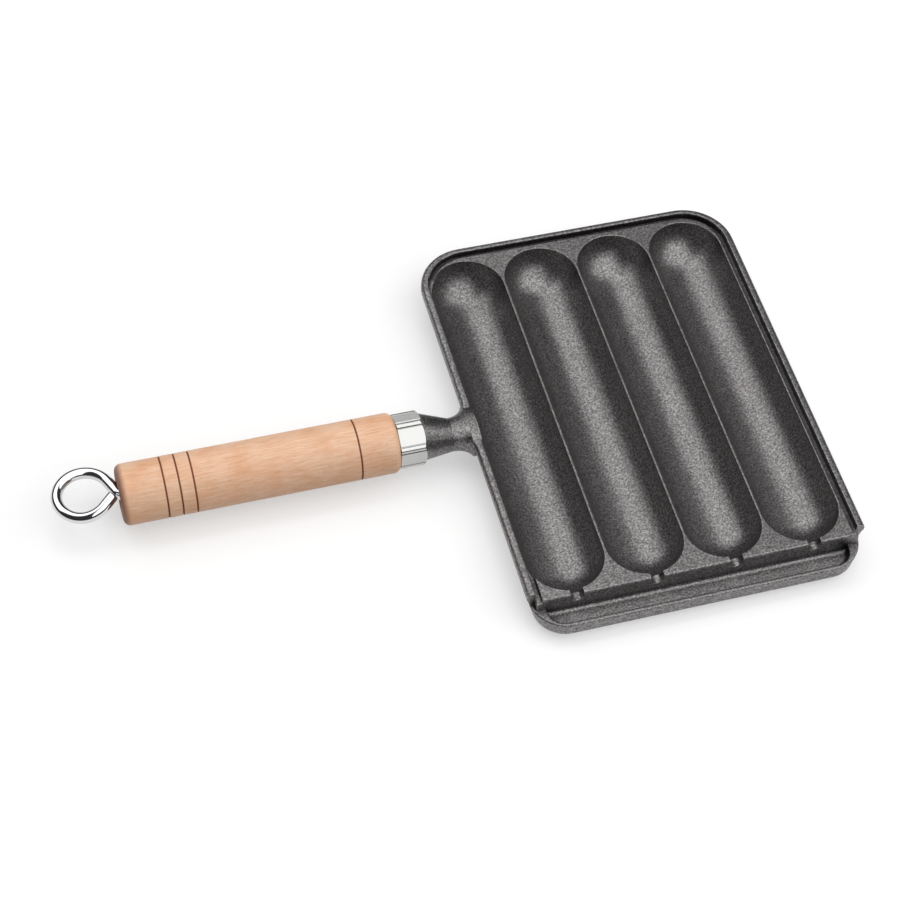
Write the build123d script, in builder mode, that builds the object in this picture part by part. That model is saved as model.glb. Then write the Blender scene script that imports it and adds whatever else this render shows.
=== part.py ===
from build123d import *
import math
import os

# A cast iron sausage grill pan: four round-ended bays, a raised rim, a drip gutter along the front, and a
# wooden grip behind a hexagonal ferrule, both clamped to the casting's neck by a rod with a hanging eye.
# Millimetres. The origin is under the middle of the whole object, on the table that the pan rests on.
# +Z is up, +Y is towards the back of the pan, away from the gutter, and the grip reaches towards -X.

# Bays for the sausages
bay_count = 4
bay_ridge = 1.1
bay_width = 33.9
bay_length = 181.6
bay_depth = 15.0
bay_wall = 3.5
bay_shift = 1.5
bay_edge_radius = 0.4
base_thickness = 3.1

# Plate around the bays, the groove outside it and the raised rim
plate_side_margin = 1.25
plate_back_margin = 2.6
plate_front_margin = 2.4
plate_corner_radius = 17.2
plate_front_corner_radius = 1.5
plate_edge_radius = 0.75
groove_width = 2.0
groove_depth = 2.2
rim_side_width = 3.65
rim_back_width = 3.1
rim_height = 1.1
rim_thickness = 4.6
rim_front_radius = 17.0
rim_top_radius = 2.0
rim_bottom_radius = 1.2
rim_inner_radius = 0.7
rim_end_back = 3.3

# Gutter in front of the plate, and the notches that drain the bays into it
gutter_width = 8.3
gutter_depth = 10.6
gutter_front_wall = 2.1
gutter_end_wall = 8.0
gutter_wall_drop = 7.0
gutter_floor_thickness = 3.1
gutter_corner_radius = 7.0
gutter_floor_radius = 1.8
gutter_crest_radius = 0.8
gutter_end_draft = 3.3
gutter_front_draft = 0.4
gutter_back_wall = 7.0
notch_width = 5.8
notch_depth = 5.0
notch_run = 5.1

# Neck cast on the side of the pan
handle_drop = 1.5
neck_length = 20.7
neck_end_diameter = 20.6
waist_diameter = 14.7
waist_drop = 2.7
flare_length = 8.0
flare_spread = 7.0
flare_end_angle = 75.0
flare_steps = 5
root_depth = 8.0
web_width = 9.0
web_radius = 9.0
web_run = 0.5

# Clamping rod, which ends in the hanging eye
rod_diameter = 5.0
rod_tip_chamfer = 0.6
thread_depth = 15.0
thread_clearance = 0.1
tip_gap = 1.0
rod_clearance = 0.3
eye_radius = 11.6
eye_strand = 9.27
eye_lean = 13.5
eye_lift = 4.6
eye_lift_start = 60.0
eye_bend_radius = 4.0
eye_bend_inset = 0.5
eye_tip_gap = 0.2
eye_tip_radius = 0.8

# Hexagonal ferrule and wooden grip
ferrule_sides = 6
ferrule_across_flats = 21.2
ferrule_length = 11.9
ferrule_chamfer = 1.0
ferrule_turning_angle = 60.0
grip_diameter = 26.5
grip_length = 120.2
grip_end_radius = 3.0
grip_shoulder_radius = 3.2
mouth_diameter = 14.6
mouth_depth = 4.4
line_depth = 0.35
line_width = 0.9
line_places = (19.0, 25.1, 31.2, 102.5)

# Levels above the table
bay_pitch = bay_width + bay_ridge
bay_arc_radius = (bay_width**2 / 4 + bay_depth**2) / (2 * bay_depth)
bay_straight = bay_length - bay_width
plate_z = base_thickness + bay_depth
rim_z = plate_z + rim_height
bay_axis_z = plate_z + bay_arc_radius - bay_depth
groove_floor_z = plate_z - groove_depth
gutter_wall_z = plate_z - gutter_wall_drop
gutter_floor_z = plate_z - gutter_depth
gutter_bottom_z = gutter_floor_z - gutter_floor_thickness
handle_z = plate_z - handle_drop

# Plan of the casting, from the middle of the pan
plate_half = (bay_count - 1) / 2 * bay_pitch + bay_width / 2 - bay_shift + plate_side_margin
plate_back = bay_length / 2 + plate_back_margin
plate_front = -bay_length / 2 - plate_front_margin
rim_inner_half = plate_half + groove_width
rim_outer_half = rim_inner_half + rim_side_width
rim_inner_back = plate_back + groove_width
rim_outer_back = rim_inner_back + rim_back_width
gutter_outer_front = plate_front - gutter_width - gutter_front_wall

# Stations along the handle, from the middle of the pan
waist = rim_outer_half + flare_length
neck_end = rim_outer_half + neck_length
ferrule_end = neck_end + ferrule_length
grip_end = ferrule_end + grip_length
eye_corner = grip_end - eye_bend_inset
eye_reach = math.hypot(eye_strand, eye_radius)
eye_half_angle = math.degrees(math.atan2(eye_radius, eye_strand))
eye_far = eye_corner + eye_reach * math.cos(math.radians(eye_lean)) + eye_radius + rod_diameter / 2

# Place of the pan's middle, which leaves the origin under the middle of the whole object
pan_x = (eye_far - rim_outer_half) / 2
pan_y = -(gutter_outer_front + rim_outer_back) / 2


def level(height):
    """The horizontal plane at a height, with its origin on the pan's middle."""
    return Plane(origin=(pan_x, pan_y, height))


def across(station):
    """The plane square to the handle at a station, facing the eye: Y is up, X is towards the front."""
    return Plane(origin=(pan_x - station, pan_y, handle_z), x_dir=(0, -1, 0), z_dir=(-1, 0, 0))


def bay_form(arc_radius, top_z):
    """A round-ended trough shape along Y about the bay's axis, cut off level at top_z."""
    with BuildPart() as form:
        with BuildSketch(Plane.XZ.offset(bay_straight / 2)) as section:
            with Locations((0, bay_axis_z)):
                Circle(arc_radius)
            with Locations((0, top_z)):
                Rectangle(2 * arc_radius, 2 * arc_radius, align=(Align.CENTER, Align.MAX),
                          mode=Mode.INTERSECT)
        extrude(amount=-bay_straight)
        with BuildSketch(Plane.XZ.offset(bay_straight / 2)) as front_half:
            with Locations((0, bay_axis_z)):
                Circle(arc_radius)
            with Locations((0, top_z)):
                Rectangle(arc_radius, 2 * arc_radius, align=(Align.MIN, Align.MAX), mode=Mode.INTERSECT)
        revolve(axis=Axis((0, -bay_straight / 2, 0), (0, 0, 1)), revolution_arc=-180)
        mirror(about=Plane.XZ)
    return form.part


def outline(half_width, front, back, front_radius, back_radius):
    """A rectangle seen from above, with its own corner radius at the front and at the back."""
    with Locations((0, (front + back) / 2)):
        shape = Rectangle(2 * half_width, back - front)
    if back_radius:
        fillet(shape.vertices().group_by(Axis.Y)[-1], back_radius)
    if front_radius:
        fillet(shape.vertices().group_by(Axis.Y)[0], front_radius)


def neck_section(station, half_width, half_height, drop):
    """One oval section of the neck, square to the handle, its middle a drop below the handle's axis."""
    with BuildSketch(across(station)) as section:
        with Locations((0, -drop)):
            Ellipse(half_width, half_height)
    return section.sketch


def flare_section(angle):
    """The neck's section at an angle round the quarter curve that spreads it into the pan's side."""
    turn = math.radians(angle)
    return neck_section(waist - flare_length * math.sin(turn),
                        waist_diameter / 2 + flare_spread * (1 - math.cos(turn)),
                        waist_diameter / 2, waist_drop)


bay_core = bay_form(bay_arc_radius, rim_z)
bay_shell = bay_form(bay_arc_radius + bay_wall, groove_floor_z)
bay_offsets = [(i - (bay_count - 1) / 2) * bay_pitch - bay_shift for i in range(bay_count)]
bay_places = [(pan_x + offset, pan_y, 0) for offset in bay_offsets]

with BuildPart() as gutter_pocket:
    with BuildSketch(level(gutter_floor_z)) as pocket_plan:
        outline(rim_outer_half - gutter_end_wall, plate_front - gutter_width, plate_front,
                gutter_corner_radius, 0)
    extrude(amount=gutter_depth)
    fillet(gutter_pocket.edges().group_by(Axis.Z)[0], gutter_floor_radius)

with BuildPart() as rim_recess:
    with BuildSketch(level(plate_z)) as recess_plan:
        outline(rim_inner_half, gutter_outer_front - rim_side_width, rim_inner_back, 0,
                plate_corner_radius + groove_width)
    extrude(amount=waist_diameter)

with BuildPart() as pan_casting:
    # Rim slab with a web that spreads from the neck, hollowed down to the plate and rounded like a bead
    with BuildSketch(level(rim_z)) as rim_plan:
        outline(rim_outer_half, gutter_outer_front, rim_outer_back, rim_front_radius,
                plate_corner_radius + groove_width + rim_back_width)
        with Locations((-rim_outer_half, 0)):
            Rectangle(2 * (web_radius + web_run), web_width)
        fillet(rim_plan.vertices().sort_by_distance((-rim_outer_half, 0, 0))[:2], web_radius)
    extrude(amount=-rim_thickness)
    fillet(pan_casting.faces().sort_by(Axis.Z)[0].edges(), rim_bottom_radius)
    fillet(pan_casting.faces().sort_by(Axis.Z)[-1].edges(), rim_top_radius)
    add(rim_recess.part, mode=Mode.SUBTRACT)
    rim_top = pan_casting.faces().filter_by(Plane.XY).sort_by(Axis.Z)[-1]
    inner_back = (pan_x, pan_y + rim_inner_back, rim_z)
    fillet(rim_top.edges().sort_by_distance(inner_back)[0], rim_inner_radius)

    # Gutter body and bay shells, cut off where they rest on the table
    with BuildSketch(level(groove_floor_z)) as gutter_top:
        outline(rim_outer_half, gutter_outer_front, plate_front + gutter_back_wall, rim_front_radius, 0)
    with BuildSketch(level(gutter_bottom_z)) as gutter_base:
        outline(rim_outer_half - gutter_end_draft, gutter_outer_front + gutter_front_draft,
                plate_front + gutter_back_wall, rim_front_radius - gutter_end_draft, 0)
    loft(ruled=True)
    with Locations(*bay_places):
        add(bay_shell)
    split(bisect_by=Plane.XY, keep=Keep.TOP)

    # The neck is a cone from the ferrule to its waist, then flares into the pan's side on a quarter round
    loft(sections=[neck_section(neck_end, neck_end_diameter / 2, neck_end_diameter / 2, 0),
                   flare_section(0)], ruled=True)
    loft(sections=[flare_section(flare_end_angle * step / flare_steps) for step in range(flare_steps + 1)])
    extrude(flare_section(flare_end_angle), amount=root_depth, dir=(1, 0, 0))
    add(rim_recess.part, mode=Mode.SUBTRACT)

    # Groove around the plate, the step down to the gutter's low wall, and the plate's rounded edge
    with BuildSketch(level(plate_z)) as groove:
        outline(rim_inner_half, gutter_outer_front, rim_inner_back, 0, plate_corner_radius + groove_width)
        with BuildSketch(level(plate_z), mode=Mode.SUBTRACT):
            outline(plate_half, plate_front, plate_back, plate_front_corner_radius, plate_corner_radius)
    extrude(amount=-groove_depth, mode=Mode.SUBTRACT)
    with BuildSketch(level(gutter_wall_z)) as step_plan:
        outline(rim_outer_half, gutter_outer_front, plate_front, 0, 0)
        with Locations((-rim_outer_half, plate_front), (rim_outer_half, plate_front)):
            Rectangle(2 * rim_side_width, 2 * rim_end_back)
    extrude(amount=waist_diameter, mode=Mode.SUBTRACT)
    plate_middle = (pan_x, pan_y, plate_z)
    plate_top = pan_casting.faces().filter_by(Plane.XY).sort_by_distance(plate_middle)[0]
    fillet(plate_top.outer_wire().edges(), plate_edge_radius)

    # Bays. The groove runs into the first one, so that one has no rounded edge of its own.
    with Locations(*bay_places):
        add(bay_core, mode=Mode.SUBTRACT)
    plate_top = pan_casting.faces().filter_by(Plane.XY).sort_by_distance(plate_middle)[0]
    clear_bays = plate_top.inner_wires().sort_by(Axis.X)[1 - bay_count:]
    fillet([edge for wire in clear_bays for edge in wire.edges()], bay_edge_radius)

    # Gutter and the notches that drain into it
    add(gutter_pocket.part, mode=Mode.SUBTRACT)
    crest_middle = (pan_x, pan_y + gutter_outer_front + gutter_front_wall / 2, gutter_wall_z)
    crest = pan_casting.faces().filter_by(Plane.XY).sort_by_distance(crest_middle)[0]
    # Its last three rows of edges carry walls: the plate's step, the groove's sides and the rim's ends
    fillet([edge for row in crest.edges().group_by(Axis.Y)[:-3] for edge in row], gutter_crest_radius)
    plate_edge = Plane(origin=(pan_x, pan_y + plate_front, plate_z), x_dir=(-1, 0, 0), z_dir=(0, 1, 0))
    with BuildSketch(plate_edge) as notches:
        with Locations(*[(-offset, 0) for offset in bay_offsets]):
            Rectangle(notch_width, 2 * (notch_depth - notch_width / 2))
        with Locations(*[(-offset, notch_width / 2 - notch_depth) for offset in bay_offsets]):
            Circle(notch_width / 2)
    extrude(amount=notch_run, mode=Mode.SUBTRACT)

    # Tapped hole for the rod
    with Locations(across(neck_end)):
        Hole((rod_diameter + thread_clearance) / 2, thread_depth)

pan_casting.part.label = "pan_casting"

os.makedirs("parts", exist_ok=True)
export_step(pan_casting.part, "parts/pan_casting.step")

with BuildPart() as hex_ferrule:
    with BuildSketch(across(neck_end)) as hexagon:
        RegularPolygon(ferrule_across_flats / 2, ferrule_sides, major_radius=False,
                       rotation=180 / ferrule_sides)
    extrude(amount=ferrule_length)
    # The corners are turned off round at the end that meets the neck
    with BuildSketch(across(neck_end)) as turned_end:
        Circle(ferrule_across_flats / 2 - ferrule_chamfer / 2)
    extrude(amount=ferrule_length, taper=-ferrule_turning_angle, mode=Mode.INTERSECT)
    with Locations(across(neck_end)):
        Hole((rod_diameter + rod_clearance) / 2)

hex_ferrule.part.label = "hex_ferrule"
export_step(hex_ferrule.part, "parts/hex_ferrule.step")

# The grip's outline is turned about the handle's axis, drawn as station and height above the axis
grip_radius = grip_diameter / 2
bore_radius = (rod_diameter + rod_clearance) / 2
line_radius = (line_width**2 / 4 + line_depth**2) / (2 * line_depth)
along = Plane(origin=(pan_x, pan_y, handle_z), x_dir=(-1, 0, 0), z_dir=(0, 1, 0))

with BuildPart() as wood_grip:
    with BuildSketch(along) as grip_outline:
        with Locations((ferrule_end, bore_radius)):
            body = Rectangle(grip_length, grip_radius - bore_radius, align=(Align.MIN, Align.MIN))
        top_corners = body.vertices().group_by(Axis.Z)[-1].sort_by(Axis.X)
        fillet(top_corners[0], grip_end_radius)
        fillet(top_corners[-1], grip_shoulder_radius)
        with BuildLine():
            Polyline((grip_end, bore_radius), (grip_end, mouth_diameter / 2),
                     (grip_end - mouth_depth, bore_radius), close=True)
        make_face(mode=Mode.SUBTRACT)
        line_height = grip_radius - line_depth + line_radius
        with Locations(*[(grip_end - place, line_height) for place in line_places]):
            Circle(line_radius, mode=Mode.SUBTRACT)
    revolve(axis=Axis((pan_x, pan_y, handle_z), (-1, 0, 0)))

wood_grip.part.label = "wood_grip"
export_step(wood_grip.part, "parts/wood_grip.step")

# The eye is bent from the rod's end: back strand, round loop, then a free strand that climbs over the shank
rod_start = neck_end - thread_depth + tip_gap
strand_angle = math.radians(eye_lean + eye_half_angle)
bend_length = eye_bend_radius * math.tan(strand_angle / 2)
free_angle = math.radians(eye_half_angle - eye_lean)
tip_strand = (eye_bend_inset + eye_tip_gap + rod_diameter / 2 * math.sin(free_angle)) / math.cos(free_angle)
lift_turn = math.radians(eye_lift_start)


def past_lift(forward, side):
    """How far a point of the flat eye lies beyond the line that touches the loop where the climb starts."""
    return eye_radius - (forward - eye_reach) * math.cos(lift_turn) + side * math.sin(lift_turn)


tip_forward = tip_strand * math.cos(math.radians(eye_half_angle))
tip_side = -tip_strand * math.sin(math.radians(eye_half_angle))
climb_angle = math.asin(eye_lift / past_lift(tip_forward, tip_side))


def eye_point(forward, side, climbs=False):
    """A point from its place in the flat eye: forward from the corner along the eye's axis, and to the back.
    The climbing part turns up about the line that touches the loop where the climb starts."""
    rise = 0
    if climbs:
        beyond = past_lift(forward, side)
        rise = beyond * math.sin(climb_angle)
        pull = beyond * (1 - math.cos(climb_angle))
        forward += pull * math.cos(lift_turn)
        side -= pull * math.sin(lift_turn)
    lean = math.radians(eye_lean)
    return Vector(pan_x - eye_corner - forward * math.cos(lean) + side * math.sin(lean),
                  pan_y + forward * math.sin(lean) + side * math.cos(lean), handle_z + rise)


def loop_point(angle, climbs=False):
    """A point on the round loop, at an angle in degrees about its middle from its far end, to the back."""
    turn = math.radians(angle)
    return eye_point(eye_reach + eye_radius * math.cos(turn), eye_radius * math.sin(turn), climbs)


def strand_point(reach, side, climbs=False):
    """A point on the back strand (side 1) or the free strand (side -1), at a distance from the corner."""
    turn = side * math.radians(eye_half_angle)
    return eye_point(reach * math.cos(turn), reach * math.sin(turn), climbs)


loop_end = 90 + eye_half_angle
bend_middle = (pan_x - eye_corner + bend_length - eye_bend_radius * math.sin(strand_angle / 2),
               pan_y + eye_bend_radius * (1 - math.cos(strand_angle / 2)), handle_z)
flat_middle = (loop_end - eye_lift_start) / 2
climb_middle = (loop_end + eye_lift_start) / 2

with BuildPart() as hanging_eye:
    with BuildLine() as rod_path:
        Line((pan_x - rod_start, pan_y, handle_z), (pan_x - eye_corner + bend_length, pan_y, handle_z))
        ThreePointArc(rod_path.line @ 1, bend_middle, strand_point(bend_length, 1))
        Line(strand_point(bend_length, 1), strand_point(eye_strand, 1))
        ThreePointArc(loop_point(loop_end), loop_point(flat_middle), loop_point(-eye_lift_start))
        ThreePointArc(loop_point(-eye_lift_start, True), loop_point(-climb_middle, True),
                      loop_point(-loop_end, True))
        Line(strand_point(eye_strand, -1, True), strand_point(tip_strand, -1, True))
    with BuildSketch(across(rod_start)) as rod_section:
        Circle(rod_diameter / 2)
    sweep(path=rod_path.line)
    tip = strand_point(tip_strand, -1, True)
    ends = hanging_eye.faces().filter_by(GeomType.PLANE).sort_by_distance(tip)
    fillet(ends[0].edges(), eye_tip_radius)
    chamfer(ends[-1].edges(), rod_tip_chamfer)

hanging_eye.part.label = "hanging_eye"
export_step(hanging_eye.part, "parts/hanging_eye.step")
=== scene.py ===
# %% [markdown]
# # A cast iron sausage grill pan
# The pan is four things on a real stove: a sand-cast iron body, a hexagonal steel ferrule, a turned beech
# grip and a bright steel rod that clamps them and ends in a hanging eye. The solid model gives their sizes
# and places, and this lesson gives them their surfaces, the light and the camera. Loading the model comes
# first, because every later step measures itself against it.

# %% Load the solid model
import math
import bpy
import numpy as np
from mathutils import Matrix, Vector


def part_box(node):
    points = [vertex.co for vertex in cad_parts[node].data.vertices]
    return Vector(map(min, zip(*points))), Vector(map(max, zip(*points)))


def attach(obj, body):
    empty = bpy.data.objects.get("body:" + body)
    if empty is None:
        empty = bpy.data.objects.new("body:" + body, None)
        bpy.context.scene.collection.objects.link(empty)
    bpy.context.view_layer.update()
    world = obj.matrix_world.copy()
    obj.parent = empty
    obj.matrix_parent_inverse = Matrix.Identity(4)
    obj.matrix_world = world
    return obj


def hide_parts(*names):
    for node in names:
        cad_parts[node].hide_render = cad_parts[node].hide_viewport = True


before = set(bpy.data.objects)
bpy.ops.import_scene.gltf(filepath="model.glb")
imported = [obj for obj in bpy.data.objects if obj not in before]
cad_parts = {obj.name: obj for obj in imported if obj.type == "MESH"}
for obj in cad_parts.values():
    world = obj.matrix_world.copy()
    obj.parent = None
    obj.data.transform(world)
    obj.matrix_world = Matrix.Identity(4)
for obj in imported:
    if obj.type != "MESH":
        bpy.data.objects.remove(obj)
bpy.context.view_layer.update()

MM = 0.001
print("nodes:", sorted(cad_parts))

# %% [markdown]
# ## The camera
# The picture was taken with a long lens from above the gutter side, a little to the left of it, and is
# rolled by a few degrees. These angles came from fitting the plate's straight edges and the bays. A camera
# could be aimed with a constraint, but a matrix built from three angles is exact and has nothing to solve.

# %% Place the camera
camera_place_mm = (-173.80, -520.10, 770.39)
camera_azimuth, camera_elevation, camera_roll = -19.195, 54.222, -4.659
focal_px, picture_px, sensor_mm = 2156.9, 900, 36.0


def camera_axes(azimuth, elevation, roll):
    """Right, up and back of a camera. Back points from the subject to the lens: the azimuth turns it from
    -Y towards +X and the elevation lifts it. Right is level, and then right and up turn about back by the
    roll."""
    turn, lift, tilt = np.radians([azimuth, elevation, roll])
    back = np.array([np.sin(turn) * np.cos(lift), -np.cos(turn) * np.cos(lift), np.sin(lift)])
    level = np.cross(-back, (0.0, 0.0, 1.0))
    level /= np.linalg.norm(level)
    down = np.cross(-back, level)
    return (level * np.cos(tilt) + down * np.sin(tilt), level * np.sin(tilt) - down * np.cos(tilt), back)


camera_data = bpy.data.cameras.new("camera")
camera_data.sensor_width = sensor_mm
camera_data.lens = focal_px / picture_px * sensor_mm
camera = bpy.data.objects.new("camera", camera_data)
pose = Matrix(np.array(camera_axes(camera_azimuth, camera_elevation, camera_roll)).T.tolist()).to_4x4()
pose.translation = [value * MM for value in camera_place_mm]
camera.matrix_world = pose
bpy.context.collection.objects.link(camera)
bpy.context.scene.camera = camera
print("lens %.2f mm" % camera_data.lens)

# %% [markdown]
# ## Three helpers for materials
# Colours are written as the hex values that an eye or a screen knows, and one function turns them into the
# linear numbers that light is added up in. Another starts an empty material, and a third adds one node with
# its settings and links, so that each material below reads from top to bottom like a recipe.

# %% Colour and node helpers


def colour(code):
    """Linear RGBA from sRGB hex: each channel over 0.04045 is raised to 2.4 after an offset, the rest
    divided."""
    value = np.array([int(code[i:i + 2], 16) for i in (1, 3, 5)]) / 255
    linear = np.where(value > 0.04045, ((value + 0.055) / 1.055) ** 2.4, value / 12.92)
    return (*linear.tolist(), 1.0)


def start(name):
    """A material with no nodes yet."""
    material = bpy.data.materials.new(name)
    material.use_nodes = True
    material.node_tree.nodes.clear()
    return material


def add(material, kind, inputs=None, stops=(), **settings):
    """Add a node to a material with its own settings. Each input is a value, another node's output or a
    node, whose first working output is taken. Stops are the (place, hex) pairs of a colour band."""
    tree = material.node_tree
    made = tree.nodes.new("ShaderNode" + kind)
    for name, value in settings.items():
        setattr(made, name, value)
    for name, value in (inputs or {}).items():
        if isinstance(value, bpy.types.Node):
            value = next(output for output in value.outputs if output.enabled)
        if isinstance(value, bpy.types.NodeSocket):
            tree.links.new(value, made.inputs[name])
        else:
            made.inputs[name].default_value = value
    for place, code in stops[1:-1]:
        made.color_ramp.elements.new(place)
    for element, (place, code) in zip(made.color_ramp.elements if stops else (), stops):
        element.position, element.color = place, colour(code)
    return made


# %% [markdown]
# ## Sand-cast iron, seasoned
# The body is grey iron poured in a sand mould and seasoned with oil. Sand leaves a fine grain of bumps
# under a millimetre across, and the oil gives it a dark satin sheen that is a little uneven. The grain is a
# bump from two sizes of noise. The Bevel node rounds off the light along every sharp edge, as a casting's
# own small radii do. Occlusion outside the metal finds the hollows, and these get painted shade: their
# colour is mixed towards near black. Occlusion inside it finds the proud edges, because just there the
# inside of the metal is thin, and these are painted lighter, partly as rubbed wear and partly as a painted
# highlight.

# %% Cast iron
sand_grain_mm, sand_height_mm, sand_strength = 0.85, 0.12, 0.75
fine_grain_mm, fine_height_mm, fine_strength = 0.45, 0.05, 0.5
cast_edge_mm, wear_and_highlight_edge_mm, hollow_mm, seasoning_mm = 0.35, 0.9, 7.0, 26.0
most_wear_and_highlight, most_hollow_shade, iron_metal, oiled_rough, dry_rough = 0.35, 0.85, 0.96, 0.36, 0.42
iron = start("seasoned_cast_iron")
iron_place = add(iron, "TexCoord").outputs["Object"]
sand = add(iron, "TexNoise", {"Vector": iron_place, "Scale": 1 / (sand_grain_mm * MM), "Detail": 3.0,
                              "Roughness": 0.6})
fine = add(iron, "TexNoise", {"Vector": iron_place, "Scale": 1 / (fine_grain_mm * MM), "Detail": 1.0})
patch = add(iron, "TexNoise", {"Vector": iron_place, "Scale": 1 / (seasoning_mm * MM), "Detail": 3.0,
                               "Roughness": 0.55})
rounded = add(iron, "Bevel", {"Radius": cast_edge_mm * MM}, samples=6)
sand_bump = add(iron, "Bump", {"Strength": sand_strength, "Distance": sand_height_mm * MM, "Height": sand,
                               "Normal": rounded})
fine_bump = add(iron, "Bump", {"Strength": fine_strength, "Distance": fine_height_mm * MM, "Height": fine,
                               "Normal": sand_bump})
speck = add(iron, "MapRange", {"Value": sand, "From Min": 0.35, "From Max": 0.65})
iron_skin = add(iron, "ValToRGB", {"Fac": speck}, ((0.0, "#565455"), (0.5, "#777575"), (1.0, "#9B9897")))
# Painted highlight, partly rubbed wear: proud edges, found by occlusion inside the metal, are mixed towards
# light grey.
thin = add(iron, "AmbientOcclusion", {"Distance": wear_and_highlight_edge_mm * MM}, samples=4, inside=True,
           only_local=True)
wear_and_painted_highlight = add(iron, "MapRange", {"Value": thin.outputs["AO"], "From Min": 0.7, "From Max": 0.35, "To Min": 0.0,
                              "To Max": most_wear_and_highlight})
skin_with_wear_and_highlight = add(iron, "Mix", {"Factor": wear_and_painted_highlight, "A": iron_skin, "B": colour("#C4C1BE")}, data_type="RGBA")
# Painted shade: hollows, found by occlusion outside the metal, are mixed towards near black.
open_sky = add(iron, "AmbientOcclusion", {"Distance": hollow_mm * MM}, samples=4, only_local=True)
painted_hollow_shade = add(iron, "MapRange", {"Value": open_sky.outputs["AO"], "From Min": 0.75, "From Max": 0.25,
                               "To Min": 0.0, "To Max": most_hollow_shade})
iron_colour = add(iron, "Mix", {"Factor": painted_hollow_shade, "A": skin_with_wear_and_highlight, "B": colour("#1E1C1D")}, data_type="RGBA")
gloss = add(iron, "MapRange", {"Value": patch, "From Min": 0.3, "From Max": 0.7, "To Min": oiled_rough,
                               "To Max": dry_rough})
iron_shader = add(iron, "BsdfPrincipled", {"Base Color": iron_colour, "Metallic": iron_metal,
                                           "Roughness": gloss, "Normal": fine_bump})
add(iron, "OutputMaterial", {"Surface": iron_shader})
print("iron: sand grain %.1f mm" % sand_grain_mm)

# %% [markdown]
# ## Plated steel
# The ferrule is cut from hexagonal bar and plated, so its flats are smooth with the faint lengthwise
# drawing lines of the bar. The eye is the same plating on bright round rod, which is near a mirror and only
# a little clouded where hands hold it.

# %% Ferrule steel and eye steel
drawing_line_mm, drawing_stretch, drawing_height_mm, drawing_strength = 0.25, 40.0, 0.02, 0.12
ferrule_rough, handled_mm, rod_rough = (0.18, 0.3), 6.0, (0.05, 0.13)
ferrule_steel = start("plated_hexagon_steel")
bar_place = add(ferrule_steel, "Mapping", {
    "Vector": add(ferrule_steel, "TexCoord").outputs["Object"],
    "Scale": [1 / (drawing_line_mm * drawing_stretch * MM), 1 / (drawing_line_mm * MM),
              1 / (drawing_line_mm * MM)]})
drawn = add(ferrule_steel, "TexNoise", {"Vector": bar_place, "Scale": 1.0})
ferrule_bump = add(ferrule_steel, "Bump", {
    "Strength": drawing_strength, "Distance": drawing_height_mm * MM, "Height": drawn})
ferrule_gloss = add(ferrule_steel, "MapRange", {"Value": drawn, "To Min": ferrule_rough[0],
                                                "To Max": ferrule_rough[1]})
add(ferrule_steel, "OutputMaterial", {"Surface": add(ferrule_steel, "BsdfPrincipled", {
    "Base Color": colour("#BDBDBB"), "Metallic": 1.0, "Roughness": ferrule_gloss, "Normal": ferrule_bump})})

eye_steel = start("bright_plated_rod")
handled = add(eye_steel, "TexNoise", {"Vector": add(eye_steel, "TexCoord").outputs["Object"],
                                      "Scale": 1 / (handled_mm * MM), "Detail": 3.0})
eye_gloss = add(eye_steel, "MapRange", {"Value": handled, "To Min": rod_rough[0], "To Max": rod_rough[1]})
add(eye_steel, "OutputMaterial", {"Surface": add(eye_steel, "BsdfPrincipled", {
    "Base Color": colour("#D6D6D8"), "Metallic": 1.0, "Roughness": eye_gloss})})
print("steel: drawing lines %.2f mm apart" % drawing_line_mm)

# %% [markdown]
# ## Surfaces from two parameters
# The new pieces are skins: a grid of points worked out by a formula in two parameters, joined into quads. A
# lathe or a curve with a bevel would also do, but a formula shows every radius and leaves no surprise at
# the seams. The grid closes on itself where it wraps, and a ring of points is closed with a fan where it
# doesn't.

# %% Skin helper


def skin(name, grid, wrap_rows=True):
    """A smooth mesh from a grid of points (rows, columns, xyz). Column j joins column j + 1 and the last
    joins the first. Rows do the same where wrap_rows is true, and otherwise a fan closes both end rings."""
    rows, columns = grid.shape[:2]
    points = grid.reshape(-1, 3)
    i, j = np.meshgrid(np.arange(rows if wrap_rows else rows - 1), np.arange(columns), indexing="ij")
    below, right = (i + 1) % rows, (j + 1) % columns
    faces = np.stack([i * columns + j, i * columns + right, below * columns + right, below * columns + j],
                     axis=-1).reshape(-1, 4).tolist()
    if not wrap_rows:
        points = np.vstack([points, grid[0].mean(axis=0), grid[-1].mean(axis=0)])
        k = np.arange(columns)
        first, last, step = rows * columns, rows * columns + 1, (k + 1) % columns
        faces += np.stack([np.full(columns, first), step, k], axis=-1).tolist()
        faces += np.stack([np.full(columns, last), (rows - 1) * columns + k,
                           (rows - 1) * columns + step], axis=-1).tolist()
    mesh = bpy.data.meshes.new(name)
    mesh.from_pydata((points * MM).tolist(), [], faces)
    mesh.polygons.foreach_set("use_smooth", np.ones(len(mesh.polygons), dtype=bool))
    mesh.update()
    made = bpy.data.objects.new(name, mesh)
    bpy.context.collection.objects.link(made)
    print("%s: %d points, %d faces" % (name, len(points), len(faces)))
    return made


def dress(piece, material, node):
    """Give a new piece its material, let it ride on the object and stand for one node of the solid model."""
    piece.data.materials.append(material)
    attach(piece, "root")
    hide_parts(node)


# %% [markdown]
# ## The handle's axis
# Ferrule, grip and rod are all round one level line. Their boxes in the solid model give that line and the
# stations along it, so the new pieces start and stop exactly where the solids do.

# %% Measure the handle
grip_low, grip_high = (np.array(corner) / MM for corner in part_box("wood_grip"))
ferrule_low, ferrule_high = (np.array(corner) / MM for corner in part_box("hex_ferrule"))
rod_end = -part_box("hanging_eye")[1][0] / MM
axis_y, axis_z = (grip_low[1:] + grip_high[1:]) / 2
grip_radius = (grip_high[2] - grip_low[2]) / 2
rod_diameter, bore_diameter = 5.0, 5.3
print("handle axis y %.2f z %.2f, grip radius %.2f mm" % (axis_y, axis_z, grip_radius))


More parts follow.
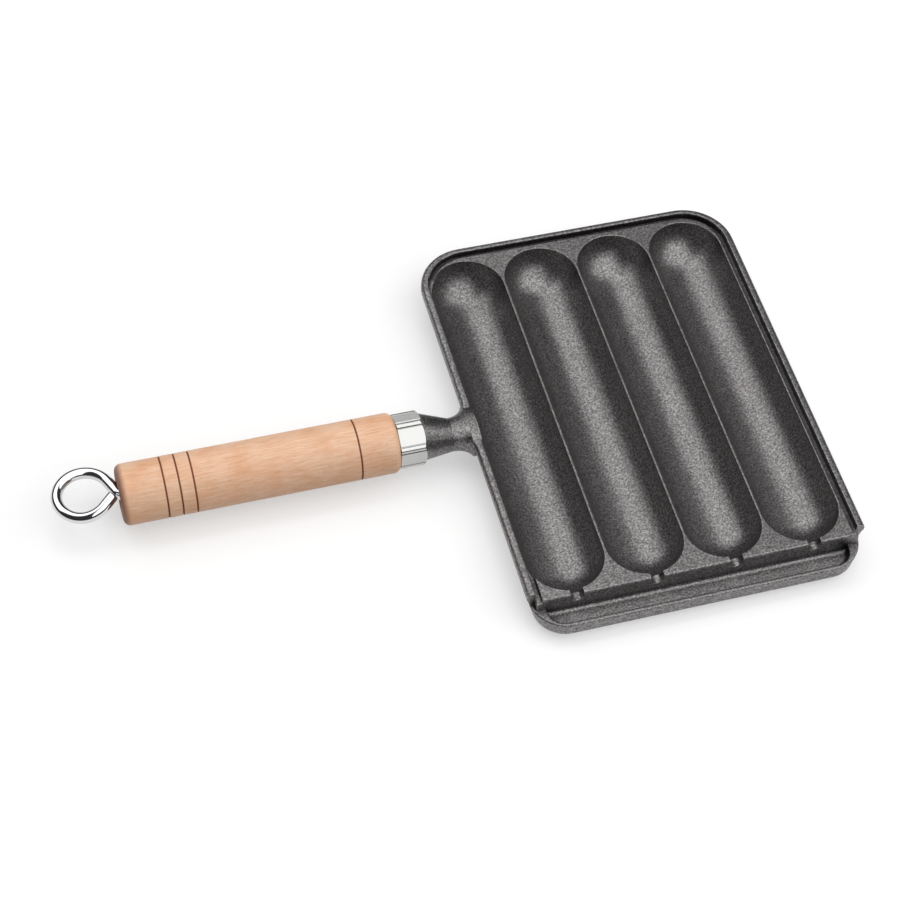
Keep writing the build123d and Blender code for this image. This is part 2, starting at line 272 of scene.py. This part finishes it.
def turned(stations, radii, steps):
    """A grid of rings about the handle's axis. Ring i is at stations[i], measured towards -X from the
    origin, and radii[i] may be one radius or one for each angle."""
    angle = np.linspace(0, 2 * np.pi, steps, endpoint=False)
    radii = np.broadcast_to(np.asarray(radii).reshape(len(stations), -1), (len(stations), steps))
    x = np.broadcast_to(-np.asarray(stations)[:, None], radii.shape)
    return np.stack([x, axis_y - radii * np.sin(angle), axis_z + radii * np.cos(angle)], axis=-1)


def corner_arc(middle, radius, start_angle, end_angle, steps=10):
    """Points of a rounded corner: a circle about middle from one angle to another, in degrees."""
    angle = np.radians(np.linspace(start_angle, end_angle, steps))
    return np.stack([middle[0] + radius * np.cos(angle), middle[1] + radius * np.sin(angle)], axis=-1)


# %% [markdown]
# ## The turned grip
# The grip is beech turned on a lathe: a plain cylinder with softened ends, a hollow for the eye's bend, and
# four lines that a wire burnt into it as it spun. Its profile is one closed outline of station and radius,
# carried round the axis, so the bore is there too and the wall is a true solid. Slow waves of a fiftieth of
# a millimetre are the turner's hand, and a ring of points held close to each edge keeps its shading crisp.

# %% Grip profile and piece
end_radius, shoulder_radius, mouth_radius, mouth_depth = 3.0, 3.2, 7.3, 4.4
mouth_lip = np.array(((0.0, 0.5), (0.1, 0.12), (0.5, -0.42)))
hand_wave, first_wave, second_wave = 0.02, 5.1, 8.7
burnt_depth, burnt_width = 0.35, 0.9
burnt_places = np.array((19.0, 25.1, 31.2, 102.5))
bore_hold, shoulder_hold, end_hold, mouth_hold = 0.01, 0.3, 0.4, 0.1
near, far = -grip_high[0], -grip_low[0]
bore = bore_diameter / 2


def grip_height(station):
    """The grip's radius along its straight side: the full radius plus the waves, less a dip for each burnt
    line. A dip is a squared cosine as wide as its line. The waves are the mean of two sines less one, so
    they only cut in."""
    away = np.abs(station[:, None] - (far - burnt_places)[None, :]) / (burnt_width / 2)
    dips = burnt_depth * np.where(away < 1, np.cos(away * np.pi / 2) ** 2, 0).sum(axis=1)
    waves = hand_wave * ((np.sin(station / first_wave) + np.sin(station / second_wave + 1)) / 2 - 1)
    return grip_radius + waves - dips


side = np.unique(np.concatenate([np.linspace(near + shoulder_radius, far - end_radius, 120)] + [
    far - place + np.linspace(-burnt_width / 2, burnt_width / 2, 15) for place in burnt_places]))
profile = np.vstack([
    [(near, bore), (near, bore + bore_hold), (near, grip_radius - shoulder_radius - shoulder_hold)],
    corner_arc((near + shoulder_radius, grip_radius - shoulder_radius), shoulder_radius, 180, 90)[:-1],
    np.stack([side, grip_height(side)], axis=-1),
    corner_arc((far - end_radius, grip_radius - end_radius), end_radius, 90, 0)[1:],
    [(far, grip_radius - end_radius - end_hold)],
    (far, mouth_radius) + mouth_lip * (-1, 1),
    [(far - mouth_depth + mouth_hold, bore + mouth_hold), (far - mouth_depth, bore)]])
grip = skin("turned_grip", turned(profile[:, 0], profile[:, 1], 128))

# %% [markdown]
# ## Beech
# Beech is pale and pinkish, with straight grain along the grip, thin short streaks a little lighter and
# darker than the rest, and broad soft patches that lean to orange. The lathe cuts it smooth, so the grain
# hardly stands up and a thin oil gives a soft shine. Each streak is noise drawn out along the grip, so that
# it is several millimetres long and less than one wide.

# %% Beech material
streak_mm, streak_stretch, fleck_mm, fleck_stretch, patch_mm = 0.5, 16.0, 0.35, 8.0, 11.0
streak_share, most_flecked = 0.5, 0.3
beech = start("turned_beech")
beech_place = add(beech, "TexCoord").outputs["Object"]
streak_place = add(beech, "Mapping", {"Vector": beech_place, "Scale": [
    1 / (streak_mm * streak_stretch * MM), 1 / (streak_mm * MM), 1 / (streak_mm * MM)]})
streak = add(beech, "TexNoise", {"Vector": streak_place, "Scale": 1.0, "Detail": 3.0, "Roughness": 0.6})
fleck_place = add(beech, "Mapping", {"Vector": beech_place, "Scale": [
    1 / (fleck_mm * fleck_stretch * MM), 1 / (fleck_mm * MM), 1 / (fleck_mm * MM)]})
fleck = add(beech, "TexNoise", {"Vector": fleck_place, "Scale": 1.0, "Detail": 1.0})
cloud = add(beech, "TexNoise", {"Vector": beech_place, "Scale": 1 / (patch_mm * MM), "Detail": 2.0})
patch_colour = add(beech, "ValToRGB", {"Fac": cloud},
                   ((0.35, "#E3A77E"), (0.5, "#E8B997"), (0.65, "#EDC5A6")))
streak_colour = add(beech, "ValToRGB", {"Fac": streak},
                    ((0.3, "#CE9469"), (0.5, "#E8B997"), (0.7, "#F6D4B8")))
plain_wood = add(beech, "Mix", {"Factor": streak_share, "A": patch_colour, "B": streak_colour},
                 data_type="RGBA")
fleck_mask = add(beech, "MapRange", {"Value": fleck, "From Min": 0.64, "From Max": 0.74, "To Min": 0.0,
                                     "To Max": most_flecked})
flecked = add(beech, "Mix", {"Factor": fleck_mask, "A": plain_wood, "B": colour("#B07A55")},
              data_type="RGBA")
print("beech: streaks %.1f mm wide" % streak_mm)

# %% [markdown]
# The scorch follows the distance from each burnt line along the grip. The distance is worked out in the
# material from X, so it stays with the wood, and its smallest value over the four lines gives the mask. The
# last few millimetres at the eye's end get painted shade, a dark brown that stands for that end's shading.

# %% Scorch around the burnt lines and painted shade at the eye's end
char_mm, scorch_mm, end_shade_mm, most_end_shade = 0.12, 0.5, 3.6, 0.85
wood_rough, char_rough, wood_ior, streak_height_mm, streak_strength = 0.5, 0.95, 1.45, 0.05, 0.2
along_grip = add(beech, "SeparateXYZ", {"Vector": beech_place}).outputs["X"]
nearest = None
for place in burnt_places:
    shifted = add(beech, "Math", {0: along_grip, 1: -(far - place) * MM}, operation="SUBTRACT")
    apart = add(beech, "Math", {0: shifted}, operation="ABSOLUTE")
    nearest = apart if nearest is None else add(beech, "Math", {0: nearest, 1: apart}, operation="MINIMUM")
char = add(beech, "MapRange", {"Value": nearest, "From Min": char_mm * MM,
                               "From Max": (char_mm + scorch_mm) * MM, "To Min": 1.0, "To Max": 0.0},
           interpolation_type="SMOOTHSTEP")
scorched = add(beech, "Mix", {"Factor": char, "A": flecked, "B": colour("#7A4020")}, data_type="RGBA")
# Painted shade: the grip's last millimetres at the eye's end are mixed towards dark brown.
end_painted_shade = add(beech, "MapRange", {"Value": along_grip, "From Min": -(far - end_shade_mm) * MM,
                                   "From Max": -far * MM, "To Min": 0.0, "To Max": most_end_shade},
               interpolation_type="SMOOTHSTEP")
wood = add(beech, "Mix", {"Factor": end_painted_shade, "A": scorched, "B": colour("#7C4030")}, data_type="RGBA")
wood_gloss = add(beech, "MapRange", {"Value": char, "To Min": wood_rough, "To Max": char_rough})
wood_bump = add(beech, "Bump", {"Strength": streak_strength, "Distance": streak_height_mm * MM,
                                "Height": streak})
add(beech, "OutputMaterial", {"Surface": add(beech, "BsdfPrincipled", {
    "Base Color": wood, "Roughness": wood_gloss, "IOR": wood_ior, "Normal": wood_bump})})
dress(grip, beech, "wood_grip")
print("beech: %d burnt lines" % len(burnt_places))

# %% [markdown]
# ## The hexagonal ferrule
# A short length of hexagonal bar covers the joint between iron and wood. Its end on the neck's side was
# turned, which leaves a round face and curved shoulders where the cone meets each flat. In polar form a
# flat is a straight line, the rounded corner is a circle, and the turned cone is a limit on the radius. The
# smallest of the three is the surface, and where cone and hexagon cross, a soft minimum rounds the seam by
# about a tenth of a millimetre.

# %% Ferrule piece
half_flats = (ferrule_high[1] - ferrule_low[1]) / 2
corner_round, turned_radius, turned_slope = 1.6, half_flats - 0.5, math.tan(math.radians(60))
edge_soft, seam_soft, cone_reach, cone_hold, ferrule_steps = 0.25, 0.12, 2.2, 0.2, 288
face_shares = np.linspace(0.97, 0.0, 4)[:, None]


def hexagon_radius(angle):
    """Distance from the axis to a hexagon with rounded corners. A flat at distance a is a / cos(angle from
    its normal). A corner's circle at distance d is d cos(b) + sqrt(r^2 - d^2 sin(b)^2), b being the angle
    from it."""
    sector = np.pi / 3
    to_corner = (angle + sector / 2) % sector - sector / 2
    to_flat = sector / 2 - np.abs(to_corner)
    flat = half_flats / np.cos(to_flat)
    distance = (half_flats - corner_round) / np.cos(sector / 2)
    inside = corner_round ** 2 - (distance * np.sin(to_corner)) ** 2
    round_corner = distance * np.cos(to_corner) + np.sqrt(np.maximum(inside, 0))
    return np.where(inside > 0, np.minimum(flat, round_corner), flat)


around = np.linspace(0, 2 * np.pi, ferrule_steps, endpoint=False)
outer = hexagon_radius(around)
neck_side, wood_side = -ferrule_high[0], -ferrule_low[0]
along = np.concatenate([neck_side + np.linspace(0, cone_reach, 40),
                        np.linspace(neck_side + cone_reach + cone_hold, wood_side - edge_soft, 14)])
limit = turned_radius + (along - neck_side) * turned_slope
barrel = -seam_soft * np.log(np.exp(-outer[None, :] / seam_soft) + np.exp(-limit[:, None] / seam_soft))
barrel = np.minimum(barrel, np.minimum(outer[None, :], limit[:, None]))
lip = np.radians(np.linspace(15, 90, 6))
lip_stations = wood_side - edge_soft + edge_soft * np.sin(lip)
lip_radii = outer[None, :] - edge_soft + edge_soft * np.cos(lip)[:, None]
wood_face = bore + face_shares * (lip_radii[-1] - bore)
neck_face = bore + face_shares[::-1] * (barrel[0] - bore)
stations = np.concatenate([np.full(len(face_shares), neck_side), along, lip_stations,
                           np.full(len(face_shares), wood_side)])
ferrule = skin("hexagon_ferrule", turned(stations, np.vstack([neck_face, barrel, lip_radii, wood_face]),
                                         ferrule_steps))
dress(ferrule, ferrule_steel, "hex_ferrule")

# %% [markdown]
# ## The rod and its hanging eye
# One bright rod runs through grip and ferrule into the neck, and outside the wood it is bent back into an
# eye. The line of its middle is a straight shank, a small bend, a straight strand to the back, and a round
# loop. The loop's last part climbs on a plane of its own, so that the free end comes to rest on the shank.
# The line is worked out first, and then a circle is carried along it. The tip's corner is rounded, as on a
# rod that was tumbled before plating.

# %% The rod's middle line
eye_radius, eye_strand, eye_lean_angle, eye_lift, lift_start_angle = 11.6, 9.27, 13.5, 4.6, 60.0
bend_radius, bend_inset, tip_gap, tip_round, step_mm, ring_points = 4.0, 0.5, 0.2, 0.8, 0.35, 48
eye_reach, half_angle = math.hypot(eye_strand, eye_radius), math.atan2(eye_radius, eye_strand)
lean, lift_turn = math.radians(eye_lean_angle), math.radians(lift_start_angle)
corner_station = far - bend_inset
free_angle = half_angle - lean
tip_strand = (bend_inset + tip_gap + rod_diameter / 2 * math.sin(free_angle)) / math.cos(free_angle)


def past_lift(forward, side):
    """How far a point of the flat eye lies beyond the line that touches the loop where the climb starts."""
    return eye_radius - (forward - eye_reach) * math.cos(lift_turn) + side * math.sin(lift_turn)


tip_forward, tip_side = tip_strand * math.cos(half_angle), -tip_strand * math.sin(half_angle)
climb = math.asin(eye_lift / past_lift(tip_forward, tip_side))


def eye_line(forward, side, climbs=False):
    """Points of the eye from their distances forward of the corner and to the back, in the flat eye. A
    climbing part turns up about the line where the climb starts. Then the whole eye leans to the back."""
    beyond = past_lift(forward, side) * climbs
    pull = beyond * (1 - math.cos(climb))
    forward, side = forward + pull * math.cos(lift_turn), side - pull * math.sin(lift_turn)
    return np.stack([-corner_station - forward * math.cos(lean) + side * math.sin(lean),
                     axis_y + forward * math.sin(lean) + side * math.cos(lean),
                     axis_z + beyond * math.sin(climb)], axis=-1)


def loop_line(start_angle, end_angle, climbs=False):
    """Points along the round loop between two angles about its middle, in radians from its far end."""
    turn = np.linspace(start_angle, end_angle, int(abs(end_angle - start_angle) * eye_radius / step_mm))
    return eye_line(eye_reach + eye_radius * np.cos(turn), eye_radius * np.sin(turn), climbs)


def strand_line(start_reach, end_reach, side, climbs=False):
    """Points along the back strand (side 1) or the free strand (side -1), by their distance from the
    corner."""
    reach = np.linspace(start_reach, end_reach, int(abs(end_reach - start_reach) / step_mm))
    return eye_line(reach * math.cos(half_angle), side * reach * math.sin(half_angle), climbs)


bend_turn = lean + half_angle
bend_length = bend_radius * math.tan(bend_turn / 2)
bend = np.linspace(0, bend_turn, 16)[1:-1]
shank = np.linspace(rod_end, corner_station - bend_length, 60)
loop_end = math.pi / 2 + half_angle
middle = np.vstack([
    np.stack([-shank, np.full_like(shank, axis_y), np.full_like(shank, axis_z)], axis=-1),
    np.stack([-(corner_station - bend_length) - bend_radius * np.sin(bend),
              axis_y + bend_radius * (1 - np.cos(bend)), np.full_like(bend, axis_z)], axis=-1),
    strand_line(bend_length, eye_strand, 1),
    loop_line(loop_end, -lift_turn)[1:],
    loop_line(-lift_turn, -loop_end, True)[1:],
    strand_line(eye_strand, tip_strand, -1, True)[1:]])
print("rod line: %d points" % len(middle))

# %% Carry a circle along the line


def rod_skin(name, line, radius, tip):
    """Rings about a line. Each ring lies across the line's direction there, its side is level and its up
    leans with the line. Near the end the radius falls as a quarter circle of the tip's own radius."""
    ahead = np.gradient(line, axis=0)
    ahead /= np.linalg.norm(ahead, axis=1, keepdims=True)
    side = np.cross(ahead, (0.0, 0.0, 1.0))
    side /= np.linalg.norm(side, axis=1, keepdims=True)
    up = np.cross(side, ahead)
    left = np.append(np.cumsum(np.linalg.norm(np.diff(line[::-1], axis=0), axis=1))[::-1], 0.0)
    keep = left > tip
    cut = np.sin(np.linspace(0, np.pi / 2, 9))
    end = line[-1] - np.outer(tip * (1 - cut), ahead[-1])
    line = np.vstack([line[keep], end])
    side = np.vstack([side[keep], np.repeat(side[-1:], len(cut), axis=0)])
    up = np.vstack([up[keep], np.repeat(up[-1:], len(cut), axis=0)])
    size = np.concatenate([np.full(keep.sum(), radius), radius - tip + tip * np.sqrt(1 - cut ** 2)])
    angle = np.linspace(0, 2 * np.pi, ring_points, endpoint=False)
    ring = np.cos(angle)[None, :, None] * side[:, None, :] + np.sin(angle)[None, :, None] * up[:, None, :]
    return skin(name, line[:, None, :] + size[:, None, None] * ring, wrap_rows=False)


hanging_eye = rod_skin("bright_eye", middle, rod_diameter / 2, tip_round)
dress(hanging_eye, eye_steel, "hanging_eye")

# %% [markdown]
# ## The casting
# The body keeps the solid model's own mesh, whose walls and radii are the real ones. It gets the iron
# material.

# %% Dress the casting
casting = bpy.data.objects["pan_casting"]
casting.data.materials.clear()
casting.data.materials.append(iron)
print("casting: %d faces" % len(casting.data.polygons))

# %% [markdown]
# ## Floor and light
# The picture is a plain product shot on a white sheet. Two large soft boxes light it, one over the front
# right and one over the back left, and little comes from the sides. How bright each slope of the bays is in
# the picture tells where such boxes hang: a slope is bright when it mirrors a box to the lens. The boxes
# together light the sheet so that white is just white. What the camera and mirrors see of the sheet is part
# light of its own and part reflected light, so that it stays white and still keeps a soft shadow. Its
# bounce on to the object is a light grey instead, because the wood in the picture shades off more below
# than over a pure white sheet.

# %% Floor
floor_half_m, floor_below_m, floor_glow, bounce_grey = 6.0, 0.0002, 0.45, "#BCBCBC"
floor_mesh = bpy.data.meshes.new("floor")
floor_mesh.from_pydata([(x * floor_half_m, y * floor_half_m, -floor_below_m)
                        for x, y in ((-1, -1), (1, -1), (1, 1), (-1, 1))], [], [(0, 1, 2, 3)])
floor = bpy.data.objects.new("floor", floor_mesh)
bpy.context.collection.objects.link(floor)
paper = start("white_paper")
seen = add(paper, "LightPath")
mirrored = add(paper, "Math", {0: seen.outputs["Is Camera Ray"], 1: seen.outputs["Is Glossy Ray"]},
               operation="MAXIMUM")
looked_at = add(paper, "Math", {0: mirrored, 1: seen.outputs["Is Transmission Ray"]}, operation="MAXIMUM")
glow = add(paper, "Math", {0: looked_at, 1: floor_glow}, operation="MULTIPLY")
paper_shade = add(paper, "Mix", {"Factor": looked_at, "A": colour(bounce_grey), "B": colour("#FFFFFF")},
                  data_type="RGBA")
matt = add(paper, "BsdfDiffuse", {"Color": paper_shade})
bright = add(paper, "Emission", {"Color": colour("#FFFFFF"), "Strength": 1.0})
add(paper, "OutputMaterial", {"Surface": add(paper, "MixShader", {0: glow, 1: matt, 2: bright})})
floor_mesh.materials.append(paper)

# %% Light
box_height_m, world_light = 2.0, 0.04


def soft_box(name, place, size, watts):
    """A rectangular lamp of a size in metres that hangs level over a place on the floor and shines down."""
    lamp_data = bpy.data.lights.new(name, "AREA")
    lamp_data.shape = "RECTANGLE"
    lamp_data.size, lamp_data.size_y = size
    lamp_data.energy = watts
    lamp = bpy.data.objects.new(name, lamp_data)
    lamp.location = (*place, box_height_m)
    bpy.context.collection.objects.link(lamp)
    print("%s: %.0f W" % (name, watts))


soft_box("front_right_box", place=(1.66, -1.30), size=(4.5, 4.06), watts=104.0)
soft_box("back_left_box", place=(-0.98, 1.50), size=(3.16, 2.4), watts=43.0)
world = bpy.data.worlds.new("studio")
bpy.context.scene.world = world
world.use_nodes = True
world.node_tree.nodes["Background"].inputs["Color"].default_value = colour("#FFFFFF")
world.node_tree.nodes["Background"].inputs["Strength"].default_value = world_light
bpy.context.scene.view_settings.view_transform = "Standard"
